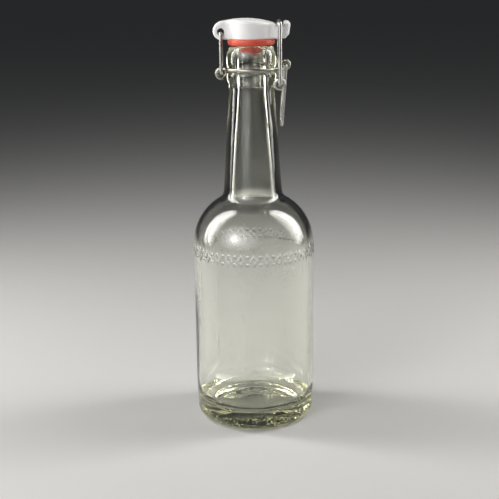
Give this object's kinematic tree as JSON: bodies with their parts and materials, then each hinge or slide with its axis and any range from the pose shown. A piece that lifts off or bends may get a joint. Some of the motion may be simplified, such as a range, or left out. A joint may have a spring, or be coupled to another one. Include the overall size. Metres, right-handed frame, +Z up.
{
  "type": "swing-top bottle",
  "caption": "Small clear glass bottle with a long neck, closed by a porcelain head and rubber gasket held down by a side lever and wire bail.",
  "frame": {"origin": "centre of the bottle's base, on the plane it stands on", "axes": "+Z up the bottle's axis; +X towards the lever and bail, -X towards the hinge link; the front is -Y"},
  "size_m": [0.0676, 0.0674, 0.2239],
  "materials": {
    "glass": "clear soda glass, faint yellow-green in the thick heel, worn and lightly scuffed",
    "neck_wire": "tinned steel wire, dulled",
    "wire": "tinned steel wire, dulled",
    "porcelain": "white glazed porcelain",
    "seal": "red-orange rubber, satin"
  },
  "bodies": {
    "bottle": {"bottle": "glass", "neck_collar": "neck_wire"},
    "link": {"hinge_link": "wire"},
    "head": {"stopper_head": "porcelain", "gasket": "seal"},
    "lever": {"lever": "wire"},
    "bail": {"clamp_bail": "wire"}
  },
  "joints": [
    {"name": "link_swing", "type": "hinge", "parent": "bottle", "child": "link", "pos_m": [-0.0161, 0, 0.1954], "axis": [0, -1, 0], "range_deg": [0, 150]},
    {"name": "head_tilt", "type": "hinge", "parent": "link", "child": "head", "pos_m": [-0.0161, 0, 0.2163], "axis": [0, -1, 0], "range_deg": [0, 104]},
    {"name": "lever_swing", "type": "hinge", "parent": "bottle", "child": "lever", "pos_m": [0.0183, 0, 0.1991], "axis": [0, -1, 0], "range_deg": [0, 110]},
    {"name": "bail_swing", "type": "hinge", "parent": "lever", "child": "bail", "pos_m": [0.0152, 0, 0.18934], "axis": [0, -1, 0], "range_deg": [-77, 0]}
  ],
  "couplings": [
    {"joint": "bail_swing", "follows": "lever_swing", "ratio": -0.69}
  ]
}
